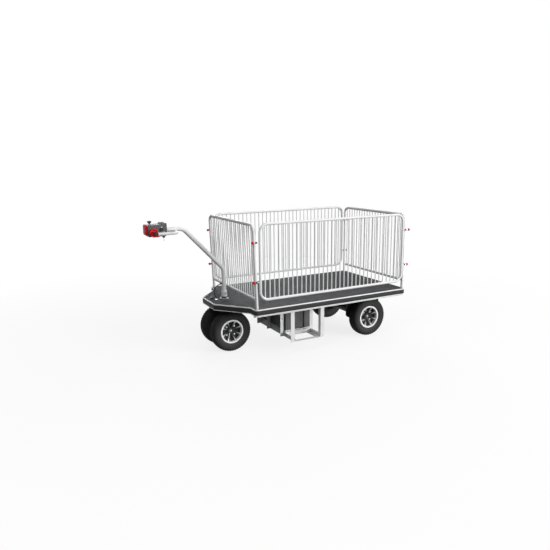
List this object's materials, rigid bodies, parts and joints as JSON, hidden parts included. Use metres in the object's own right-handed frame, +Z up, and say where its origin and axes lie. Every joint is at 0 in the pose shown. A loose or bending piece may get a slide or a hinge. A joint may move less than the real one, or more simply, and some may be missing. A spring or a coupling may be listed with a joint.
{
  "type": "electric platform cart",
  "caption": "Battery-powered platform cart with a tapered deck, fold-down tube-and-bar side panels, underslung battery bay, and twin front wheels steered by a long tiller with a control head.",
  "frame": {"origin": "on the floor under the middle of the overall length and width", "axes": "+X towards the tiller, +Y to the cart's left, +Z up"},
  "size_m": [1.9939, 0.85, 0.9945],
  "materials": {
    "deck_steel": "matte",
    "deck_rubber": "ribbed matte",
    "bumper_rubber": "satin",
    "trim_plastic": "satin",
    "white_paint": "semi-gloss powder coat",
    "black_steel": "satin black",
    "red_plastic": "gloss",
    "black_plastic": "satin",
    "head_plastic": "fine grain",
    "battery_case": "satin",
    "bright_steel": "zinc plated",
    "silver_paint": "silver",
    "cast_alloy": "cast, grey",
    "rim_paint": "silver paint",
    "lead_rubber": "matte",
    "tyre": "matte"
  },
  "bodies": {
    "chassis": {"deck_plate": "deck_steel", "deck_mat": "deck_rubber", "bumper": "bumper_rubber", "bumper_trims": "trim_plastic", "side_rails": "white_paint", "cross_members": "white_paint", "steering_head": "white_paint", "front_end_frame": "white_paint", "rear_end_frame": "white_paint", "latch_barrels": "black_steel", "latch_pins": "bright_steel", "latch_knobs": "red_plastic", "bay_end_frames": "white_paint", "bay_floor_frame": "white_paint", "battery_tray": "white_paint", "battery_pack": "battery_case", "rear_axle": "black_steel", "axle_brackets": "black_steel", "drive_gearbox": "cast_alloy", "drive_motor": "black_steel", "steering_disc": "bright_steel", "lead_socket": "bright_steel", "socket_cap": "black_plastic", "tiller_lead": "lead_rubber"},
    "steering": {"steering_yoke": "black_steel", "front_axle": "bright_steel", "tiller_tube": "white_paint", "tiller_collar": "white_paint", "steering_seal": "black_plastic", "handlebar": "silver_paint", "head_housing": "head_plastic", "head_rear_cover": "black_plastic", "belly_switch": "red_plastic", "belly_switch_seal": "black_plastic", "throttle_wings": "red_plastic", "throttle_hubs": "black_plastic", "stop_knob": "black_plastic", "battery_gauge": "black_plastic", "key_switch": "bright_steel", "key_bows": "black_plastic", "key_blade_and_ring": "bright_steel", "lead_boot": "black_plastic"},
    "front_wheels": {"front_tyres": "tyre", "front_rims": "rim_paint", "front_wheel_discs": "black_steel", "front_hub_caps": "bright_steel"},
    "rear_left_wheel": {"rear_left_tyre": "tyre", "rear_left_rim": "rim_paint", "rear_left_wheel_disc": "black_steel", "rear_left_hub_cap": "bright_steel"},
    "rear_right_wheel": {"rear_right_tyre": "tyre", "rear_right_rim": "rim_paint", "rear_right_wheel_disc": "black_steel", "rear_right_hub_cap": "bright_steel"},
    "left_panel": {"left_side_panel": "white_paint"},
    "right_panel": {"right_side_panel": "white_paint"}
  },
  "joints": [
    {"name": "steering", "type": "hinge", "parent": "chassis", "child": "steering", "pos_m": [0.422, 0, 0.354], "axis": [0, 0, 1], "range_deg": [-60, 60], "deforming": ["tiller_lead"]},
    {"name": "front_wheels_spin", "type": "hinge", "parent": "steering", "child": "front_wheels", "pos_m": [0.422, 0, 0.154], "axis": [0, 1, 0], "continuous": true},
    {"name": "rear_left_spin", "type": "hinge", "parent": "chassis", "child": "rear_left_wheel", "pos_m": [-0.69, 0.292, 0.154], "axis": [0, 1, 0], "continuous": true},
    {"name": "rear_right_spin", "type": "hinge", "parent": "chassis", "child": "rear_right_wheel", "pos_m": [-0.69, -0.292, 0.154], "axis": [0, 1, 0], "continuous": true},
    {"name": "left_panel_fold", "type": "hinge", "parent": "chassis", "child": "left_panel", "pos_m": [0, 0.4145, 0.571], "axis": [-1, 0, 0], "range_deg": [0, 170]},
    {"name": "right_panel_fold", "type": "hinge", "parent": "chassis", "child": "right_panel", "pos_m": [0, -0.4145, 0.571], "axis": [1, 0, 0], "range_deg": [0, 170]}
  ]
}
